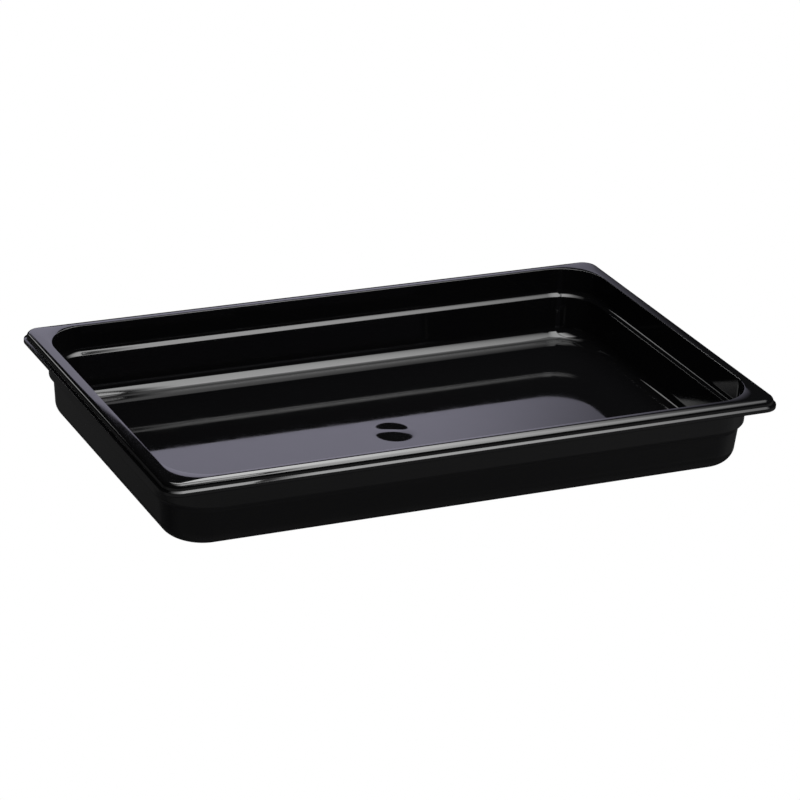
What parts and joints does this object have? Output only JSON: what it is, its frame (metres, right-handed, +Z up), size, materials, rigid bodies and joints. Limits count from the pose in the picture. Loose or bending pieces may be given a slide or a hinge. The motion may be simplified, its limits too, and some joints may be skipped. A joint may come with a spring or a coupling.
{
  "type": "gastronorm food pan",
  "caption": "Shallow rectangular deli food pan with a flat rim, a hanging lip, stacking shoulders and rounded corners, moulded in one piece.",
  "frame": {"origin": "centre of the foot, on the surface that the pan stands on", "axes": "+X along the length, +Y across the width, +Z up through the mouth"},
  "size_m": [0.53, 0.325, 0.064],
  "materials": {
    "polycarbonate": "polished, as moulded"
  },
  "bodies": {
    "root": {"pan": "polycarbonate"}
  },
  "joints": []
}
